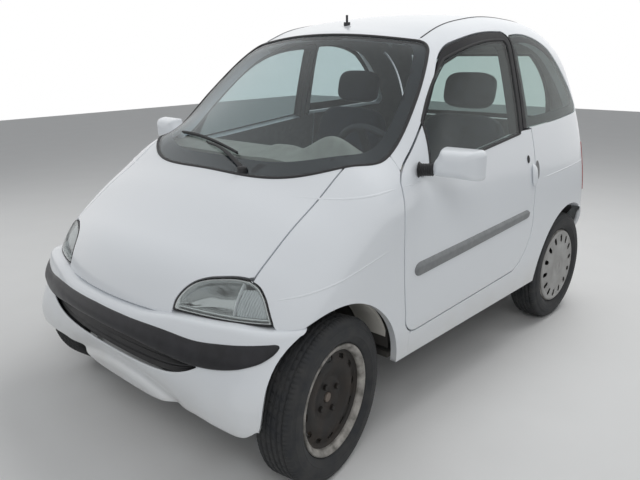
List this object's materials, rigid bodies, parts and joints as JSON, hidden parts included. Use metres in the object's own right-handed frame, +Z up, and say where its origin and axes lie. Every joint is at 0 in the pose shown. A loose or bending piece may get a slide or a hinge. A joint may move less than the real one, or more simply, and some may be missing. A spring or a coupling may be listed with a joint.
{
  "type": "two-seat microcar",
  "caption": "Small two-seat city car with a short sloping bonnet, a tall round cabin, a rear hatch, turning and steering wheels, opening doors, bonnet and tailgate.",
  "frame": {"origin": "on the floor under the middle of the car's outline", "axes": "+X to the car's left, +Y to its rear, +Z up"},
  "size_m": [1.78, 2.5389, 1.4651],
  "materials": {
    "white_paint": "gloss",
    "glass": "gloss",
    "lamp_clear": "gloss",
    "lamp_red": "gloss",
    "black_plastic": "matte",
    "grey_plastic": "matte",
    "beige_plastic": "matte",
    "seat_cloth": "matte",
    "frame_aluminium": "satin",
    "dark_steel": "satin",
    "cast_engine": "rough",
    "exhaust_steel": "rough",
    "tyre_rubber": "matte"
  },
  "bodies": {
    "body": {"floor_pan": "grey_plastic", "wheelhouses": "grey_plastic", "inner_wings": "frame_aluminium", "chassis_rails": "frame_aluminium", "cross_members": "frame_aluminium", "engine_block": "cast_engine", "front_arms": "dark_steel", "drive_shafts": "dark_steel", "steering_rack": "dark_steel", "rear_arms": "dark_steel", "silencer": "exhaust_steel", "wing_left": "white_paint", "wing_right": "white_paint", "body_side_left": "white_paint", "body_side_right": "white_paint", "roof_panel": "white_paint", "windscreen": "glass", "quarter_glass": "glass", "front_bumper": "white_paint", "bumper_strip": "black_plastic", "front_grille": "black_plastic", "rear_bumper": "white_paint", "headlamps": "lamp_clear", "tail_lamps": "lamp_red", "wiper": "black_plastic", "antenna": "black_plastic", "dashboard": "beige_plastic", "steering_column": "black_plastic", "seats": "seat_cloth"},
    "door_left": {"door_left": "white_paint", "door_glass_left": "glass", "rub_strip_left": "grey_plastic", "mirror_left": "white_paint"},
    "door_right": {"door_right": "white_paint", "door_glass_right": "glass", "rub_strip_right": "grey_plastic", "mirror_right": "white_paint"},
    "bonnet": {"bonnet": "white_paint"},
    "tailgate": {"tailgate": "white_paint", "tailgate_glass": "glass"},
    "knuckle_left": {"knuckle_left": "dark_steel"},
    "knuckle_right": {"knuckle_right": "dark_steel"},
    "front_wheel_left": {"wheel_front_left": "dark_steel", "tyre_front_left": "tyre_rubber"},
    "front_wheel_right": {"wheel_front_right": "dark_steel", "tyre_front_right": "tyre_rubber"},
    "rear_wheel_left": {"wheel_rear_left": "dark_steel", "tyre_rear_left": "tyre_rubber", "cover_rear_left": "grey_plastic"},
    "rear_wheel_right": {"wheel_rear_right": "dark_steel", "tyre_rear_right": "tyre_rubber", "cover_rear_right": "grey_plastic"},
    "steering_wheel": {"steering_wheel": "black_plastic"}
  },
  "joints": [
    {"name": "steer_left", "type": "hinge", "parent": "body", "child": "knuckle_left", "pos_m": [0.595, -0.865, 0.16], "axis": [-0.1764, 0, 0.9843], "range_deg": [-39.5, 20.5]},
    {"name": "spin_front_left", "type": "hinge", "parent": "knuckle_left", "child": "front_wheel_left", "pos_m": [0.63372, -0.85548, 0.26636], "axis": [0.9867, 0.1625, -0.0024], "continuous": true},
    {"name": "steer_right", "type": "hinge", "parent": "body", "child": "knuckle_right", "pos_m": [-0.595, -0.865, 0.16], "axis": [0.1764, 0, 0.9843], "range_deg": [-39.5, 20.5]},
    {"name": "spin_front_right", "type": "hinge", "parent": "knuckle_right", "child": "front_wheel_right", "pos_m": [-0.63372, -0.87452, 0.26636], "axis": [0.9867, 0.1625, 0.0024], "continuous": true},
    {"name": "spin_rear_left", "type": "hinge", "parent": "body", "child": "rear_wheel_left", "pos_m": [0.6105, 0.836, 0.2665], "axis": [1, 0, 0], "continuous": true},
    {"name": "spin_rear_right", "type": "hinge", "parent": "body", "child": "rear_wheel_right", "pos_m": [-0.6105, 0.836, 0.2665], "axis": [1, 0, 0], "continuous": true},
    {"name": "steering_wheel_turn", "type": "hinge", "parent": "body", "child": "steering_wheel", "pos_m": [0.33, -0.215, 0.88], "axis": [0, 0.9063, 0.4226], "range_deg": [-516, 269]},
    {"name": "door_left_hinge", "type": "hinge", "parent": "body", "child": "door_left", "pos_m": [0.706, -0.522, 0.7], "axis": [0, 0, -1], "range_deg": [0, 65]},
    {"name": "door_right_hinge", "type": "hinge", "parent": "body", "child": "door_right", "pos_m": [-0.706, -0.522, 0.7], "axis": [0, 0, 1], "range_deg": [0, 65]},
    {"name": "bonnet_hinge", "type": "hinge", "parent": "body", "child": "bonnet", "pos_m": [0, -0.6, 0.975], "axis": [-1, 0, 0], "range_deg": [0, 55]},
    {"name": "tailgate_hinge", "type": "hinge", "parent": "body", "child": "tailgate", "pos_m": [0, 0.905, 1.412], "axis": [1, 0, 0], "range_deg": [0, 75]}
  ],
  "couplings": [
    {"joint": "steer_right", "follows": "steer_left", "ratio": 1},
    {"joint": "steering_wheel_turn", "follows": "steer_left", "ratio": 13}
  ]
}
